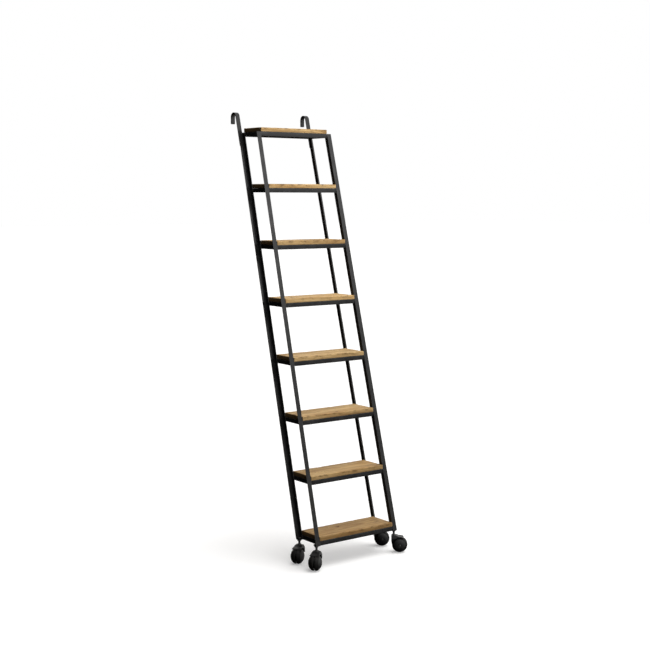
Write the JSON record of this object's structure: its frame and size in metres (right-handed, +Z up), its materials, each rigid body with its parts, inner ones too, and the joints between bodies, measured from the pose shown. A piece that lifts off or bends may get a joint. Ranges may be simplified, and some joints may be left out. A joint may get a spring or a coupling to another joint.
{
  "type": "library ladder",
  "caption": "Leaning library ladder: wooden treads in black angle-iron frames between steel stringers, with flat hooks for a bookcase rail and twin-wheel casters at its feet.",
  "frame": {"origin": "on the floor, under the middle of the ladder's bounding box", "axes": "+Z up, +Y towards the bookcase that the ladder leans on, +X to the climber's right"},
  "size_m": [0.6292, 0.84, 2.2735],
  "materials": {
    "blackened_steel": "satin blackened steel",
    "tread_wood": "honey-coloured solid wood, thinly oiled",
    "hood_black": "black powder-coated castings",
    "bolt_steel": "dark zinc",
    "hub_grey": "dark grey moulded plastic",
    "tyre_rubber": "matt black rubber"
  },
  "bodies": {
    "ladder": {"stringer_left_front": "blackened_steel", "stringer_left_rear": "blackened_steel", "stringer_right_front": "blackened_steel", "stringer_right_rear": "blackened_steel", "rail_hook_left": "blackened_steel", "rail_hook_right": "blackened_steel", "tread_1_frame": "blackened_steel", "tread_1_board": "tread_wood", "tread_2_frame": "blackened_steel", "tread_2_board": "tread_wood", "tread_3_frame": "blackened_steel", "tread_3_board": "tread_wood", "tread_4_frame": "blackened_steel", "tread_4_board": "tread_wood", "tread_5_frame": "blackened_steel", "tread_5_board": "tread_wood", "tread_6_frame": "blackened_steel", "tread_6_board": "tread_wood", "tread_7_frame": "blackened_steel", "tread_7_board": "tread_wood", "tread_8_frame": "blackened_steel", "tread_8_board": "tread_wood", "caster_left_front_foot_plate": "blackened_steel", "caster_left_front_stem": "bolt_steel", "caster_left_front_lock_nut": "bolt_steel", "caster_left_rear_foot_plate": "blackened_steel", "caster_left_rear_stem": "bolt_steel", "caster_left_rear_lock_nut": "bolt_steel", "caster_right_front_foot_plate": "blackened_steel", "caster_right_front_stem": "bolt_steel", "caster_right_front_lock_nut": "bolt_steel", "caster_right_rear_foot_plate": "blackened_steel", "caster_right_rear_stem": "bolt_steel", "caster_right_rear_lock_nut": "bolt_steel"},
    "hood_left_front": {"caster_left_front_hood": "hood_black", "caster_left_front_axle": "bolt_steel"},
    "wheel_left_front_1": {"caster_left_front_hub_1": "hub_grey", "caster_left_front_tyre_1": "tyre_rubber"},
    "wheel_left_front_2": {"caster_left_front_hub_2": "hub_grey", "caster_left_front_tyre_2": "tyre_rubber"},
    "hood_left_rear": {"caster_left_rear_hood": "hood_black", "caster_left_rear_axle": "bolt_steel"},
    "wheel_left_rear_1": {"caster_left_rear_hub_1": "hub_grey", "caster_left_rear_tyre_1": "tyre_rubber"},
    "wheel_left_rear_2": {"caster_left_rear_hub_2": "hub_grey", "caster_left_rear_tyre_2": "tyre_rubber"},
    "hood_right_front": {"caster_right_front_hood": "hood_black", "caster_right_front_axle": "bolt_steel"},
    "wheel_right_front_1": {"caster_right_front_hub_1": "hub_grey", "caster_right_front_tyre_1": "tyre_rubber"},
    "wheel_right_front_2": {"caster_right_front_hub_2": "hub_grey", "caster_right_front_tyre_2": "tyre_rubber"},
    "hood_right_rear": {"caster_right_rear_hood": "hood_black", "caster_right_rear_axle": "bolt_steel"},
    "wheel_right_rear_1": {"caster_right_rear_hub_1": "hub_grey", "caster_right_rear_tyre_1": "tyre_rubber"},
    "wheel_right_rear_2": {"caster_right_rear_hub_2": "hub_grey", "caster_right_rear_tyre_2": "tyre_rubber"}
  },
  "joints": [
    {"name": "left_front_swivel", "type": "hinge", "parent": "ladder", "child": "hood_left_front", "pos_m": [-0.2495, -0.35669, 0.0905], "axis": [0, 0, 1], "continuous": true},
    {"name": "left_front_wheel_1_roll", "type": "hinge", "parent": "hood_left_front", "child": "wheel_left_front_1", "pos_m": [-0.2729, -0.37702, 0.04], "axis": [-0.6561, 0.7547, 0], "continuous": true},
    {"name": "left_front_wheel_2_roll", "type": "hinge", "parent": "hood_left_front", "child": "wheel_left_front_2", "pos_m": [-0.2729, -0.37702, 0.04], "axis": [-0.6561, 0.7547, 0], "continuous": true},
    {"name": "left_rear_swivel", "type": "hinge", "parent": "ladder", "child": "hood_left_rear", "pos_m": [-0.2495, -0.21169, 0.0905], "axis": [0, 0, 1], "continuous": true},
    {"name": "left_rear_wheel_1_roll", "type": "hinge", "parent": "hood_left_rear", "child": "wheel_left_rear_1", "pos_m": [-0.27426, -0.23034, 0.04], "axis": [-0.6018, 0.7986, 0], "continuous": true},
    {"name": "left_rear_wheel_2_roll", "type": "hinge", "parent": "hood_left_rear", "child": "wheel_left_rear_2", "pos_m": [-0.27426, -0.23034, 0.04], "axis": [-0.6018, 0.7986, 0], "continuous": true},
    {"name": "right_front_swivel", "type": "hinge", "parent": "ladder", "child": "hood_right_front", "pos_m": [0.2495, -0.35669, 0.0905], "axis": [0, 0, 1], "continuous": true},
    {"name": "right_front_wheel_1_roll", "type": "hinge", "parent": "hood_right_front", "child": "wheel_right_front_1", "pos_m": [0.27393, -0.37577, 0.04], "axis": [-0.6157, -0.788, 0], "continuous": true},
    {"name": "right_front_wheel_2_roll", "type": "hinge", "parent": "hood_right_front", "child": "wheel_right_front_2", "pos_m": [0.27393, -0.37577, 0.04], "axis": [-0.6157, -0.788, 0], "continuous": true},
    {"name": "right_rear_swivel", "type": "hinge", "parent": "ladder", "child": "hood_right_rear", "pos_m": [0.2495, -0.21169, 0.0905], "axis": [0, 0, 1], "continuous": true},
    {"name": "right_rear_wheel_1_roll", "type": "hinge", "parent": "hood_right_rear", "child": "wheel_right_rear_1", "pos_m": [0.2755, -0.22857, 0.04], "axis": [-0.5446, -0.8387, 0], "continuous": true},
    {"name": "right_rear_wheel_2_roll", "type": "hinge", "parent": "hood_right_rear", "child": "wheel_right_rear_2", "pos_m": [0.2755, -0.22857, 0.04], "axis": [-0.5446, -0.8387, 0], "continuous": true}
  ]
}
